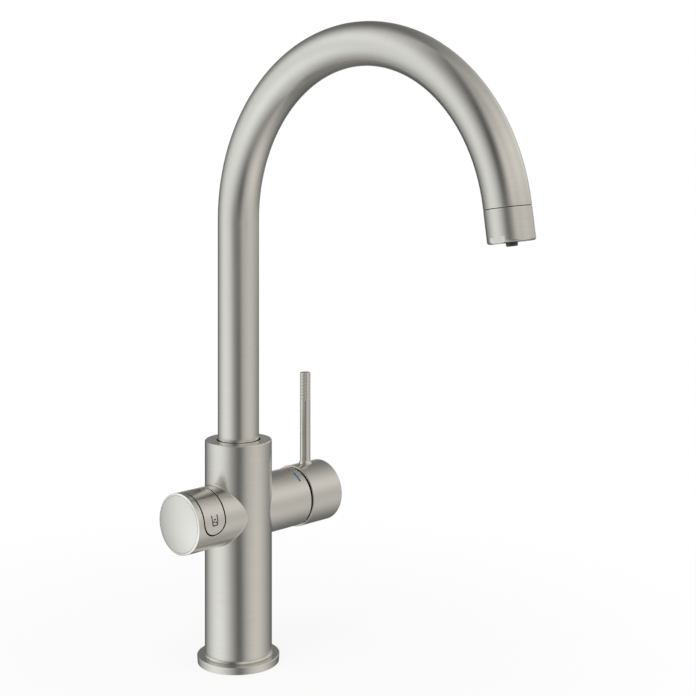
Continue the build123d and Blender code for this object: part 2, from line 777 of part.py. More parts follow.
# Lever: a steel stem on the pivot, the turned cap over it and the upright rod
ball_x = pivot_x - ball_arm
neck_end = ball_x + ball_r + 1
stem_end = rod_x + hub_r / 2
with BuildPart() as lever_stem:
    with BuildSketch(mixer_arm.offset(neck_end)):
        Circle(stem_r)
    extrude(amount=stem_end - neck_end)
    with BuildSketch(mixer_arm.offset(ball_x)):
        Circle(ball_r - 2 * edge / 3)
    extrude(amount=neck_end - ball_x)
    with Locations((ball_x, 0, axis_z)):
        Sphere(ball_r)
    with BuildSketch(pivot_plane):
        Circle(pivot_r + fit)
    extrude(amount=stem_r, both=True, mode=Mode.SUBTRACT)

with BuildPart() as lever_cap:
    with BuildSketch(mixer_arm.offset(rim_x)):
        Circle(cap_r)
    extrude(amount=cap_len)
    fillet(lever_cap.edges().sort_by(Axis.X)[-1], cap_round)
    chamfer(lever_cap.edges().sort_by(Axis.X)[0], cap_lip)
    with BuildSketch(mixer_arm.offset(rim_x)):
        Circle(cap_r - cap_wall)
    extrude(amount=cap_floor - rim_x, mode=Mode.SUBTRACT)
    # hollow behind the skirt, broken at the top by the boss that the rod screws into
    with BuildSketch(mixer_arm.offset(cap_floor)):
        ring(cap_r - cap_thick, hub_r)
        with Locations((0, cap_r / 2)):
            Rectangle(2 * (rod_r + boss_wall), cap_r, mode=Mode.SUBTRACT)
    extrude(amount=rim_x + cap_len - cap_plate - cap_floor, mode=Mode.SUBTRACT)
    with BuildSketch(mixer_arm.offset(cap_floor)):
        Circle(stem_r + fit)
    extrude(amount=stem_end - cap_floor, mode=Mode.SUBTRACT)
    with BuildSketch(Plane.XY.offset(axis_z + cap_r - cap_wall - rod_tang)):
        with Locations((rod_x, 0)):
            Circle(rod_tang_r + fit)
    extrude(amount=rod_tang + 2 * cap_wall, mode=Mode.SUBTRACT)
    with BuildSketch(Plane.XY.offset(axis_z - hub_r)):
        with Locations((rod_x, 0)):
            Circle(cap_screw_r + fit)
    extrude(amount=hub_r - stem_r / 2, mode=Mode.SUBTRACT)
    with BuildSketch(Plane.XY.offset(axis_z - cap_r)):
        with Locations((rod_x, 0)):
            Circle(key_hole_r)
    extrude(amount=cap_r - hub_r, mode=Mode.SUBTRACT)

with BuildPart() as lever_rod:
    with BuildSketch(Plane.XY.offset(axis_z + cap_r - cap_wall)):
        with Locations((rod_x, 0)):
            Circle(rod_r)
    extrude(amount=rod_top - axis_z - cap_r + cap_wall)
    chamfer(lever_rod.edges().sort_by(Axis.Z)[-1], edge)
    with Locations((rod_x, 0, axis_z + cap_r + rod_flare / 2)):
        Cone(rod_r + rod_flare, rod_r, flare_h)
    with BuildSketch(mixer_arm.offset(rim_x)):
        Circle(cap_r)
    extrude(amount=cap_len, mode=Mode.SUBTRACT)
    with BuildSketch(Plane.XY.offset(axis_z + cap_r - cap_wall - rod_tang)):
        with Locations((rod_x, 0)):
            Circle(rod_tang_r)
    extrude(amount=rod_tang + 2 * cap_wall)

with BuildPart() as lever_grub_screw:
    with BuildSketch(Plane.XY.offset(axis_z - hub_r + air)):
        with Locations((rod_x, 0)):
            Circle(cap_screw_r)
    extrude(amount=hub_r - air - stem_r)
    with BuildSketch(Plane.XY.offset(axis_z - hub_r + air)):
        with Locations((rod_x, 0)):
            RegularPolygon(cap_screw_r / 2, 6)
    extrude(amount=cap_screw_r, mode=Mode.SUBTRACT)

# Filtered-water keys: end disc, chassis, board, switches and the rocking key band
face_r = arm_r - bevel_w - face_ledge - face_gap
crown_r = (face_r**2 + face_crown**2) / (2 * face_crown)
with BuildPart() as end_disc:
    with BuildSketch(key_arm.offset(key_end - face_thick)):
        Circle(face_r)
    extrude(amount=face_thick + face_crown)
    with Locations((crown_r - key_end - face_crown, 0, axis_z)):
        Sphere(crown_r, mode=Mode.INTERSECT)
    with BuildSketch(key_arm.offset(chassis_end)):
        ring(chassis_r, chassis_r - chassis_wall)
    extrude(amount=key_end - face_thick - chassis_end)

pad_planes = [
    Plane(
        origin=(-band_x, 0, axis_z),
        x_dir=(1, 0, 0),
        z_dir=(0, -side * sin(radians(pad_angle)), cos(radians(pad_angle))),
    )
    for side in (1, -1)
]
pad_in = chassis_r - chassis_wall - air
pad_out = band_in - pad_gap
with BuildPart() as key_chassis:
    with BuildSketch(key_arm.offset(key_floor)):
        Circle(chassis_r)
    extrude(amount=chassis_floor)
    with BuildSketch(key_arm.offset(key_floor + chassis_floor)):
        ring(chassis_r, chassis_r - chassis_wall)
    extrude(amount=chassis_end - key_floor - chassis_floor)
    with BuildSketch(key_arm.offset(key_floor)):
        with Locations((0, deck_z - deck_h / 2)):
            Rectangle(2 * chassis_r, deck_h)
        with Locations((0, -board_z - board_h / 2)):
            Rectangle(2 * chassis_r, board_h)
            Rectangle(board_w - 2 * board_rest, board_h, mode=Mode.SUBTRACT)
        Circle(chassis_r - chassis_wall / 2, mode=Mode.INTERSECT)
    extrude(amount=chassis_end - key_floor)
    with BuildSketch(Plane.XY.offset(axis_z + deck_z)):
        with Locations((-band_x, 0)):
            Rectangle(rock_pin_len + 2 * air, yoke_y + 2 * air)
    extrude(amount=chassis_r, mode=Mode.SUBTRACT)
    with BuildSketch(Plane.XY.offset(stem_foot)):
        with Locations((-band_x, 0)):
            Rectangle(yoke_stem + air, yoke_stem + air)
    extrude(amount=chassis_r, mode=Mode.SUBTRACT)
    with BuildSketch(key_arm.offset(key_floor)):
        with Locations(*chassis_screw_spots):
            Circle(screw_r + fit)
    extrude(amount=chassis_floor, mode=Mode.SUBTRACT)
    with BuildSketch(key_arm.offset(key_floor)):
        with Locations((0, -chassis_r)):
            Rectangle(notch_w, 3 * chassis_wall)
    extrude(amount=notch_d, mode=Mode.SUBTRACT)
    for plane in pad_planes:
        with BuildSketch(plane.offset(pad_in)):
            Circle(pad_r + fit)
        extrude(amount=chassis_wall + 2 * air, mode=Mode.SUBTRACT)

with BuildPart() as chassis_screws:
    with BuildSketch(key_arm.offset(key_floor + chassis_floor)):
        with Locations(*chassis_screw_spots):
            Circle(screw_head_r)
    extrude(amount=screw_head_h)
    with BuildSketch(key_arm.offset(key_floor + chassis_floor + screw_head_h / 2)):
        with Locations(*chassis_screw_spots):
            RegularPolygon(screw_r, 6)
    extrude(amount=screw_head_h / 2, mode=Mode.SUBTRACT)
    with BuildSketch(key_arm.offset(key_floor + chassis_floor - screw_len)):
        with Locations(*chassis_screw_spots):
            Circle(screw_r)
    extrude(amount=screw_len)

board_top = axis_z - board_z + board_h
board_low_x = key_floor + chassis_floor + screw_head_h
with BuildPart() as keypad_board:
    with BuildSketch(Plane.XY.offset(board_top - board_h)):
        with Locations((-(board_low_x + chassis_end) / 2, 0)):
            Rectangle(chassis_end - board_low_x - 2 * air, board_w)
    extrude(amount=board_h)

with BuildPart() as key_switches:
    with BuildSketch(Plane.XY.offset(board_top)):
        with Locations((-band_x, 0)):
            Rectangle(switch_w, switch_w)
    extrude(amount=stem_foot - air - board_top)
    for plane in pad_planes:
        with BuildSketch(plane.offset(pad_in)):
            Circle(pad_r)
        extrude(amount=pad_out - pad_in)

with BuildPart() as cable_socket:
    with BuildSketch(Plane.XY.offset(board_top)):
        with Locations((-board_low_x - socket_d, 0)):
            Rectangle(socket_d, socket_w)
    extrude(amount=socket_h)
    with BuildSketch(key_arm.offset(board_low_x + socket_d / 2)):
        with Locations((0, board_top - axis_z + socket_h / 2)):
            Rectangle(socket_w - 4 * socket_wall, socket_h - 2 * socket_wall)
    extrude(amount=socket_d / 2, mode=Mode.SUBTRACT)

with BuildPart() as key_yoke:
    with BuildSketch(Plane.XY.offset(stem_foot)):
        with Locations((-band_x, 0)):
            Rectangle(yoke_stem, yoke_stem)
    extrude(amount=axis_z + yoke_plate_z - stem_foot)
    with BuildSketch(Plane.XY.offset(axis_z + yoke_plate_z)):
        with Locations((-band_x, 0)):
            Rectangle(rock_pin_len, yoke_y)
    extrude(amount=yoke_plate_h)
    with BuildSketch(Plane.XY.offset(axis_z + yoke_plate_z)):
        with Locations((-band_x, 0)):
            with GridLocations(rock_pin_len - ear_w, 0, 2, 1):
                Rectangle(ear_w, yoke_y)
    extrude(amount=rock_z + ear_over - yoke_plate_z)
    with BuildSketch(key_arm.offset(band_x - rock_pin_len)):
        with Locations((0, rock_z)):
            Circle(rock_pin_r + fit / 2)
    extrude(amount=2 * rock_pin_len, mode=Mode.SUBTRACT)

with BuildPart() as rocker_pin:
    with BuildSketch(key_arm.offset(band_x - rock_pin_len / 2)):
        with Locations((0, rock_z)):
            Circle(rock_pin_r)
    extrude(amount=rock_pin_len)

with BuildPart() as key_icons:
    for turn, bubbles in ((icon_angle, 3), (0, 1), (-icon_angle, 0)):
        out = (0, -sin(radians(turn)), cos(radians(turn)))
        face_middle = (-band_x, out[1] * band_r, axis_z + out[2] * band_r)
        with BuildSketch(Plane(origin=face_middle, x_dir=(1, 0, 0), z_dir=out)):
            tumbler(bubbles)
        extrude(amount=2 * icon_line, both=True)
    with BuildSketch(key_arm.offset(band_x - band_w / 2)):
        ring(band_r, band_r - icon_sink)
    extrude(amount=band_w, mode=Mode.INTERSECT)

with BuildPart() as key_band:
    with BuildSketch(front_cut):
        band_outline(0)
    extrude(amount=2 * arm_r, both=True)
    with BuildSketch(key_arm.offset(band_x - band_w)):
        ring(band_r, band_in)
    extrude(amount=2 * band_w, mode=Mode.INTERSECT)
    with BuildSketch(Plane.XY.offset(axis_z + rock_z - lug_under)):
        with Locations((-band_x, 0)):
            Rectangle(lug_w, lug_y)
    extrude(amount=band_in + band_thick / 2 - rock_z + lug_under)
    with BuildSketch(key_arm.offset(band_x - band_w)):
        with Locations((0, rock_z)):
            Circle(rock_pin_r + fit)
    extrude(amount=2 * band_w, mode=Mode.SUBTRACT)
    add(key_icons.part, mode=Mode.SUBTRACT)

spring_low = axis_z + deck_z + spring_wire / 2 + fit
spring_h = yoke_plate_z - deck_z - spring_wire - 2 * fit
with BuildPart() as key_return_spring:
    with BuildLine():
        coil = Helix(
            pitch=spring_h / spring_turns,
            height=spring_h,
            radius=spring_r,
            center=(-band_x, 0, spring_low),
        )
    with BuildSketch(Plane(origin=coil @ 0, z_dir=coil % 0)):
        Circle(spring_wire / 2)
    sweep(path=coil, is_frenet=True)

# One labelled file for each piece
pieces = {
    "base_flange": base_flange,
    "base_gasket": base_gasket,
    "body_column": body_column,
    "inlet_block": inlet_block,
    "cable_grommet": cable_grommet,
    "hot_pipe": supply_pipes["hot_pipe"],
    "cold_pipe": supply_pipes["cold_pipe"],
    "filtered_riser": filtered_riser,
    "riser_seal": riser_seal,
    "spout_bush_lower": bushes["spout_bush_lower"],
    "spout_bush_upper": bushes["spout_bush_upper"],
    "spout_stop_ring": spout_stop_ring,
    "spout_tube": spout_tube,
    "swivel_spigot": swivel_spigot,
    "spigot_o_rings": spigot_o_rings,
    "spout_grub_screw": spout_grub_screw,
    "filtered_hose": filtered_hose,
    "hose_spider": hose_spider,
    "seam_washer": seam_washer,
    "outlet_head": outlet_head,
    "jet_gasket": jet_gasket,
    "jet_insert": jet_insert,
    "filtered_nozzle": filtered_nozzle,
    "cartridge_seal": cartridge_seal,
    "cartridge_housing": cartridge_housing,
    "fixed_disc": fixed_disc,
    "moving_disc": moving_disc,
    "disc_driver": disc_driver,
    "mixer_carrier": mixer_carrier,
    "lever_pivot_pin": lever_pivot_pin,
    "cartridge_nut": cartridge_nut,
    "dome_cover": dome_cover,
    "lever_stem": lever_stem,
    "lever_cap": lever_cap,
    "lever_rod": lever_rod,
    "lever_grub_screw": lever_grub_screw,
    "cold_mark": marks["cold"],
    "hot_mark": marks["hot"],
    "end_disc": end_disc,
    "key_chassis": key_chassis,
    "chassis_screws": chassis_screws,
    "keypad_board": keypad_board,
    "key_switches": key_switches,
    "cable_socket": cable_socket,
    "key_yoke": key_yoke,
    "rocker_pin": rocker_pin,
    "key_band": key_band,
    "key_icons": key_icons,
    "key_return_spring": key_return_spring,
}
os.makedirs("parts", exist_ok=True)
for name, piece in pieces.items():
    piece.part.label = name
    export_step(piece.part, f"parts/{name}.step")
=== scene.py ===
import math

import bmesh
import bpy
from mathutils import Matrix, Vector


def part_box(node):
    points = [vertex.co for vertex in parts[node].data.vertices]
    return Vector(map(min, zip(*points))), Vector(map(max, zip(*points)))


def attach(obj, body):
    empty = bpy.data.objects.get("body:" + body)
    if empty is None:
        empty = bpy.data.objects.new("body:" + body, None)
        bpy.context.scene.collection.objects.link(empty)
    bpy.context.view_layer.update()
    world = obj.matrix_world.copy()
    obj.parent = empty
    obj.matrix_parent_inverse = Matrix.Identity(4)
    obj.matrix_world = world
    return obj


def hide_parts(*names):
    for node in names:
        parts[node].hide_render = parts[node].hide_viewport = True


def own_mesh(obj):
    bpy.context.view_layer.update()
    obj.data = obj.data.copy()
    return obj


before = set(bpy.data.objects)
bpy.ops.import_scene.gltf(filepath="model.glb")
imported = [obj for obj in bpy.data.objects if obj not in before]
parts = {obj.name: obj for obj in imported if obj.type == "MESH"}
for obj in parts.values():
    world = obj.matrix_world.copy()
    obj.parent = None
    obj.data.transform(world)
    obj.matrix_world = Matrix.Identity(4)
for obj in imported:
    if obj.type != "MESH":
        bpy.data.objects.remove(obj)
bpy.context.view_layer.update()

# Viewpoint: a level camera just under a metre away, on the side of the key arm and above the
# spout's middle. Its picture is shifted down, so that upright pieces stay upright in it.
eye = (-0.6538, -0.7170, 0.3514)
heading = math.radians(46.755)
picture_w = 696
focal_px = 1425.8
level_row = 142.25             # the picture's row at the camera's own height
camera = bpy.data.objects.new("camera", bpy.data.cameras.new("camera"))
bpy.context.scene.collection.objects.link(camera)
bpy.context.scene.camera = camera
camera.location = eye
camera.rotation_euler = (math.pi / 2, 0, -heading)
camera.data.lens = focal_px / picture_w * camera.data.sensor_width
camera.data.shift_y = -(picture_w / 2 - level_row) / picture_w
bpy.context.scene.view_settings.view_transform = "Standard"


def add(tree, kind, inputs=(), **settings):
    """One node, with its settings, and its inputs set or linked. A node gives its first output."""
    made = tree.nodes.new(kind)
    for name, value in settings.items():
        setattr(made, name, value)
    for name, value in inputs.items() if isinstance(inputs, dict) else enumerate(inputs):
        if isinstance(value, bpy.types.Node):
            value = value.outputs[0]
        if isinstance(value, bpy.types.NodeSocket):
            tree.links.new(value, made.inputs[name])
        else:
            made.inputs[name].default_value = value
    return made


def linear(code):
    """An sRGB hex colour as linear red, green, blue and alpha."""
    channels = [int(code[i : i + 2], 16) / 255 for i in (1, 3, 5)]
    lit = [c / 12.92 if c < 0.04045 else ((c + 0.055) / 1.055) ** 2.4 for c in channels]
    return (*lit, 1)


# Studio: a dim room with six soft panels round the tap and black flags between them. Metal shows
# all of these, and the white backdrop where it stands, behind the tap. The camera sees nothing
# but the backdrop.
room_level = 0.24
cool_silk = "#f9fdff"
warm_silk = "#fffcf9"
soft_panels = (           # silk, level, bearing, half width, height, half height
    (cool_silk, 0.83, -64, 54, -0.43, 0.60),    # low on the left
    (cool_silk, 0.72, -90, 36, 0.50, 0.50),     # high on the left
    (warm_silk, 0.55, 70, 46, -0.52, 0.52),     # low on the right
    (warm_silk, 0.36, 20, 20, 0.35, 0.50),      # above the camera
    (warm_silk, 0.61, 80, 56, 0.50, 0.50),      # high on the right
    (warm_silk, 0.50, 141, 26, 0.23, 0.26),     # behind, on the right
)
black_flags = (           # depth, bearing, half width, height, half height
    (0.76, 8, 19, -0.30, 0.42),     # under the camera
    (0.78, -16, 17, 0.45, 0.60),    # above it, on the left
    (0.70, -160, 26, -0.20, 0.40),  # behind, on the left
    (0.50, 160, 24, -0.40, 0.40),   # low behind, on the right
    (0.45, -170, 32, 0.60, 0.40),   # high behind
)
backdrop_place = (180, 8, -0.05, 0.15)
world = bpy.data.worlds.new("studio")
bpy.context.scene.world = world
world.use_nodes = True
tree = world.node_tree
tree.nodes.clear()
ray = add(tree, "ShaderNodeTexCoord").outputs["Generated"]
climb = add(tree, "ShaderNodeSeparateXYZ", [ray]).outputs["Z"]
flat_ray = add(tree, "ShaderNodeVectorMath", [ray, (1, 1, 0)], operation="MULTIPLY")
flat_ray = add(tree, "ShaderNodeVectorMath", [flat_ray], operation="NORMALIZE")


def shown(bearing, half_width, height, half_height):
    """How much of a soft-edged panel a ray meets. Its bearing is in degrees to the right of the
    camera, seen from the tap, and its height the sine of the angle above the horizon."""
    at = heading + math.pi - math.radians(bearing)
    facing = (math.sin(at), math.cos(at), 0)
    toward = add(tree, "ShaderNodeVectorMath", [flat_ray, facing], operation="DOT_PRODUCT")
    toward = toward.outputs["Value"]
    spread = 2 / math.radians(half_width) ** 2
    aside = add(tree, "ShaderNodeMath", [toward, spread, -spread], operation="MULTIPLY_ADD")
    above = add(tree, "ShaderNodeMath", [climb, height], operation="SUBTRACT")
    above = add(tree, "ShaderNodeMath", [above, half_height], operation="DIVIDE")
    above = add(tree, "ShaderNodeMath", [above, above], operation="MULTIPLY")
    fall = add(tree, "ShaderNodeMath", [aside, above], operation="SUBTRACT")
    return add(tree, "ShaderNodeMath", [fall], operation="EXPONENT")


light = add(tree, "ShaderNodeRGB").outputs[0]
light.default_value = (room_level, room_level, room_level, 1)
for silk, level, *where in soft_panels:
    strength = add(tree, "ShaderNodeMath", [shown(*where), level], operation="MULTIPLY")
    layer = {0: strength, 6: light, 7: linear(silk)}
    light = add(tree, "ShaderNodeMix", layer, data_type="RGBA", blend_type="ADD").outputs[2]
for depth, *where in black_flags:
    cover = add(tree, "ShaderNodeMath", [shown(*where), depth], operation="MULTIPLY")
    layer = {0: cover, 6: light, 7: linear("#000000")}
    light = add(tree, "ShaderNodeMix", layer, data_type="RGBA", blend_type="MIX").outputs[2]
paths = add(tree, "ShaderNodeLightPath").outputs
mirrored = [paths["Is Glossy Ray"], paths["Is Transmission Ray"]]
mirrored = add(tree, "ShaderNodeMath", mirrored, operation="ADD")
behind = add(tree, "ShaderNodeMath", [mirrored, shown(*backdrop_place)], operation="MULTIPLY")
seen = [paths["Is Camera Ray"], behind]
seen = add(tree, "ShaderNodeMath", seen, operation="ADD", use_clamp=True)
panel_light = add(tree, "ShaderNodeBackground", {"Color": light, "Strength": 1.0})
backdrop = add(tree, "ShaderNodeBackground", {"Color": linear("#ffffff"), "Strength": 1.0})
sky = add(tree, "ShaderNodeMixShader", [seen, panel_light, backdrop])
add(tree, "ShaderNodeOutputWorld", {"Surface": sky})

# Floor: a pale matt sheet under the foot, which takes a faint shadow of the tap and runs out
# into the white behind it. Metal doesn't show it, because the panels go on below its edge.
mm = 0.001
floor_half = 3.0
floor_drop = 0.2 * mm
shadow_core = 30 * mm          # the sheet takes most of the shadow this near the tap,
shadow_reach = 450 * mm        # and none past this
least_glow = 0.86
mesh = bpy.data.meshes.new("floor")
signs = ((-1, -1), (1, -1), (1, 1), (-1, 1))
corners = [(x * floor_half, y * floor_half, -floor_drop) for x, y in signs]
mesh.from_pydata(corners, [], [(0, 1, 2, 3)])
floor = bpy.data.objects.new("floor", mesh)
bpy.context.scene.collection.objects.link(floor)
floor.visible_glossy = False
floor.visible_diffuse = False
# studio_paper: matt white card that fades into the glowing backdrop
paper = bpy.data.materials.new("studio_paper")
paper.use_nodes = True
tree = paper.node_tree
tree.nodes.clear()
place = add(tree, "ShaderNodeTexCoord").outputs["Object"]
away = add(tree, "ShaderNodeVectorMath", [place], operation="LENGTH").outputs["Value"]
span = {"Value": away, "From Min": shadow_core, "From Max": shadow_reach, "To Min": least_glow}
fade = add(tree, "ShaderNodeMapRange", span, interpolation_type="SMOOTHSTEP")
sheet = add(tree, "ShaderNodeBsdfDiffuse", {"Color": linear("#fdfdfb")})
glow = add(tree, "ShaderNodeEmission", {"Color": linear("#ffffff"), "Strength": 1.0})
blend = add(tree, "ShaderNodeMixShader", [fade, sheet, glow])
add(tree, "ShaderNodeOutputMaterial", {"Surface": blend})
mesh.materials.append(paper)

# Overhead lamp: one wide soft box above and to the camera's left, for the matt pieces and the
# floor. Metal has the panels instead.
lamp = bpy.data.objects.new("soft_box", bpy.data.lights.new("soft_box", "AREA"))
bpy.context.scene.collection.objects.link(lamp)
lamp.location = (-0.5, -0.3, 1.4)
lamp.rotation_euler = (math.radians(-12), math.radians(-20), 0)
lamp.data.shape = "DISK"
lamp.data.size = 1.2
lamp.data.energy = 9.0
lamp.visible_glossy = False

# Foot: a plate turned from brass bar, plated and brushed to a satin nickel, on a black rubber
# ring that seals it to the worktop.
scratch_pitch = 0.3 * mm       # real scratches are about 0.1 mm apart, too fine to show
scratch_length = 14 * mm
scratch_depth = 0.01 * mm
scratch_share = 0.04           # how much of that depth the light shows
polish_patch = 16.7 * mm
noise_low, noise_high = 0.3, 0.7           # nearly all of a noise lies between these
edge_begins, edge_full = 0.995, 0.95       # cosine of the turn from the face to its soft edge
# painted highlight: the lighter colour that edges and the arms' bevels take, standing in for the
# bright light they catch
edge_highlight_nickel = "#f7f5f0"
grain_depth = 0.03 * mm
wear_patch = 11.1 * mm
wear_spread = 0.05


def begin(name):
    """A new material, with its tree and its place on the piece."""
    made = bpy.data.materials.new(name)
    made.use_nodes = True
    made.node_tree.nodes.clear()
    spot = add(made.node_tree, "ShaderNodeTexCoord").outputs["Object"]
    return made, made.node_tree, spot


def toned(tree, pattern, low, high, dark, light, way="LINEAR"):
    """A colour that goes from dark to light as a pattern climbs from low to high."""
    span = {"Value": pattern, "From Min": low, "From Max": high}
    share = add(tree, "ShaderNodeMapRange", span, interpolation_type=way)
    shades = {0: share, 6: linear(dark), 7: linear(light)}
    return add(tree, "ShaderNodeMix", shades, data_type="RGBA").outputs[2]


def scratches(tree, spot, axis):
    """Streaks that run round an axis: fine along it and long across it."""
    stretch = [1 / scratch_pitch if name == axis else 1 / scratch_length for name in "xyz"]
    laid = add(tree, "ShaderNodeMapping", {"Vector": spot, "Scale": stretch})
    return add(tree, "ShaderNodeTexNoise", {"Vector": laid, "Scale": 1.0, "Detail": 2.0}).outputs[0]


def round_z(tree, spot):
    """Scratches round an upright piece."""
    return scratches(tree, spot, "z")


def nickel(
    name,
    streaks,
    edge_r=0.4 * mm,
    light="#dddad3",
    dark="#d8d5cd",
    rough=(0.20, 0.24),
    highlight_ends=(),
):
    """Satin nickel plate: a warm grey metal, softly mirrored, with a painted highlight that gives
    its edges a lighter colour.
    """
    made, tree, spot = begin(name)
    streak = streaks(tree, spot)
    cloud = {"Vector": spot, "Scale": 1 / polish_patch, "Detail": 3.0}
    cloud = add(tree, "ShaderNodeTexNoise", cloud)
    span = {"Value": cloud, "From Min": noise_low, "From Max": noise_high}
    polish = add(tree, "ShaderNodeMapRange", {**span, "To Min": rough[0], "To Max": rough[1]})
    soft_face = add(tree, "ShaderNodeBevel", {"Radius": edge_r}, samples=6)
    relief = {"Height": streak, "Strength": scratch_share, "Distance": scratch_depth}
    relief = add(tree, "ShaderNodeBump", {**relief, "Normal": soft_face})
    true_face = add(tree, "ShaderNodeNewGeometry").outputs["Normal"]
    faces = [soft_face, true_face]
    level_face = add(tree, "ShaderNodeVectorMath", faces, operation="DOT_PRODUCT").outputs["Value"]
    # painted highlight: where the rounded normal turns away from the face, the plate colour gives
    # way to the lighter edge colour
    span = {"Value": level_face, "From Min": edge_begins, "From Max": edge_full}
    edge_highlight = add(tree, "ShaderNodeMapRange", span)
    # painted highlight on the arms' turned bevels, past the given ends along the arms
    if highlight_ends:
        along = add(tree, "ShaderNodeSeparateXYZ", [spot]).outputs["X"]
        for end, way in zip(highlight_ends, ("LESS_THAN", "GREATER_THAN")):
            past = add(tree, "ShaderNodeMath", [along, end], operation=way)
            edge_highlight = add(tree, "ShaderNodeMath", [edge_highlight, past], operation="MAXIMUM")
    plate = toned(tree, streak, noise_low, noise_high, dark, light)
    shades = {0: edge_highlight, 6: plate, 7: linear(edge_highlight_nickel)}
    colour = add(tree, "ShaderNodeMix", shades, data_type="RGBA").outputs[2]
    finish = {"Base Color": colour, "Metallic": 1.0, "Roughness": polish, "Normal": relief}
    surface = add(tree, "ShaderNodeBsdfPrincipled", finish)
    add(tree, "ShaderNodeOutputMaterial", {"Surface": surface})
    return made


def moulded(name, code, rough, grain=0.3 * mm, ior=1.5):
    """Moulded plastic or rubber: a fine spark-eroded grain under an even colour."""
    made, tree, spot = begin(name)
    pits = {"Vector": spot, "Scale": 1 / grain, "Detail": 2.0}
    pits = add(tree, "ShaderNodeTexNoise", pits)
    wear = add(tree, "ShaderNodeTexNoise", {"Vector": spot, "Scale": 1 / wear_patch})
    span = {"Value": wear, "From Min": noise_low, "From Max": noise_high}
    span.update({"To Min": rough - wear_spread, "To Max": rough + wear_spread})
    matt = add(tree, "ShaderNodeMapRange", span)
    relief = add(tree, "ShaderNodeBump", {"Height": pits, "Strength": 0.2, "Distance": grain_depth})
    finish = {"Base Color": linear(code), "Roughness": matt, "IOR": ior, "Normal": relief}
    surface = add(tree, "ShaderNodeBsdfPrincipled", finish)
    add(tree, "ShaderNodeOutputMaterial", {"Surface": surface})
    return made


def dress(material, *names):
    """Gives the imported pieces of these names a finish."""
    for name in names:
        for place in parts[name].material_slots:
            place.material = material


dress(nickel("satin_nickel_turned", round_z), "base_flange")
nitrile = moulded("nitrile_rubber", "#161616", 0.6)    # soft near-black, with hardly a gleam
dress(nitrile, "base_gasket")

# Supply side: a brass block for the three hoses, with copper pipes up to the column, a steel one
# for the filtered water, and a rubber gland for the key cable.
tarnish_patch = 8.33 * mm
tarnish_low, tarnish_high = 0.35, 0.65


def plain_metal(name, light, dark, rough):
    """Bare turned metal: its own colour, with a little tarnish in patches and fine tool marks."""
    made, tree, spot = begin(name)
    cloud = {"Vector": spot, "Scale": 1 / tarnish_patch, "Detail": 4.0}
    cloud = add(tree, "ShaderNodeTexNoise", cloud)
    colour = toned(tree, cloud, tarnish_low, tarnish_high, dark, light, "SMOOTHSTEP")
    marks = {"Height": round_z(tree, spot), "Strength": 0.15, "Distance": grain_depth}
    relief = add(tree, "ShaderNodeBump", marks)
    finish = {"Base Color": colour, "Metallic": 1.0, "Roughness": rough, "Normal": relief}
    surface = add(tree, "ShaderNodeBsdfPrincipled", finish)
    add(tree, "ShaderNodeOutputMaterial", {"Surface": surface})
    return made


brass = plain_metal("turned_brass", "#d9bd7c", "#b89552", 0.3)         # warm yellow, half bright
steel = plain_metal("bright_steel", "#cfd0d1", "#b4b6b8", 0.22)        # cool grey, fairly sharp
copper = plain_metal("drawn_copper", "#d99a78", "#b0694a", 0.28)       # salmon pink going brown
dress(brass, "inlet_block")
dress(copper, "hot_pipe", "cold_pipe")
dress(steel, "filtered_riser")
dress(nitrile, "cable_grommet", "riser_seal")

# Column: one brass casting with both arms, turned and brushed like the foot, so its fine
# scratches run round the column, and round each arm where it leaves the column.
column_r = 22.7 * mm
# painted highlight: past these ends the arms' turned bevels take the lighter edge colour all over
arm_ends = (-51.95 * mm, 50.05 * mm)    # past these the turned bevels of the arms begin


def round_column_and_arms(tree, spot):
    """Scratches round the upright column, and round the arms outside it."""
    across = add(tree, "ShaderNodeSeparateXYZ", [spot]).outputs["X"]
    out = add(tree, "ShaderNodeMath", [across], operation="ABSOLUTE")
    on_arm = add(tree, "ShaderNodeMath", [out, column_r], operation="GREATER_THAN")
    both = {0: on_arm, 2: round_z(tree, spot), 3: scratches(tree, spot, "x")}
    return add(tree, "ShaderNodeMix", both).outputs[0]


dress(nickel("satin_nickel_column", round_column_and_arms, highlight_ends=arm_ends), "body_column")

# Temperature marks beside the lever: thin fills of baked enamel, blue in front and red behind,
# with a slight orange-peel surface.
peel_size = 0.667 * mm
peel_depth = 0.05 * mm
peel_low, peel_high = 0.3, 0.8


def enamel(name, deep, pale):
    """Baked enamel: a smooth gloss colour with a faint waviness."""
    made, tree, spot = begin(name)
    peel = add(tree, "ShaderNodeTexNoise", {"Vector": spot, "Scale": 1 / peel_size})
    wave = add(tree, "ShaderNodeBump", {"Height": peel, "Strength": 0.1, "Distance": peel_depth})
    tone = toned(tree, peel, peel_low, peel_high, deep, pale)
    finish = {"Base Color": tone, "Roughness": 0.3, "IOR": 1.5, "Normal": wave}
    surface = add(tree, "ShaderNodeBsdfPrincipled", finish)
    add(tree, "ShaderNodeOutputMaterial", {"Surface": surface})
    return made


dress(enamel("blue_enamel", "#0a6890", "#126f99"), "cold_mark")
dress(enamel("red_enamel", "#cc3f47", "#d3464d"), "hot_mark")

# Spout: a drawn tube bent to a wide bow and brushed round its bore, so the scratches follow
# the bend. It turns with its brass spigot in two acetal bushes between two O-rings.
bow_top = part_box("spout_tube")[1][2]
tube_r = 14 * mm
bow_r = 113.9 * mm
bow_z = bow_top - tube_r - bow_r


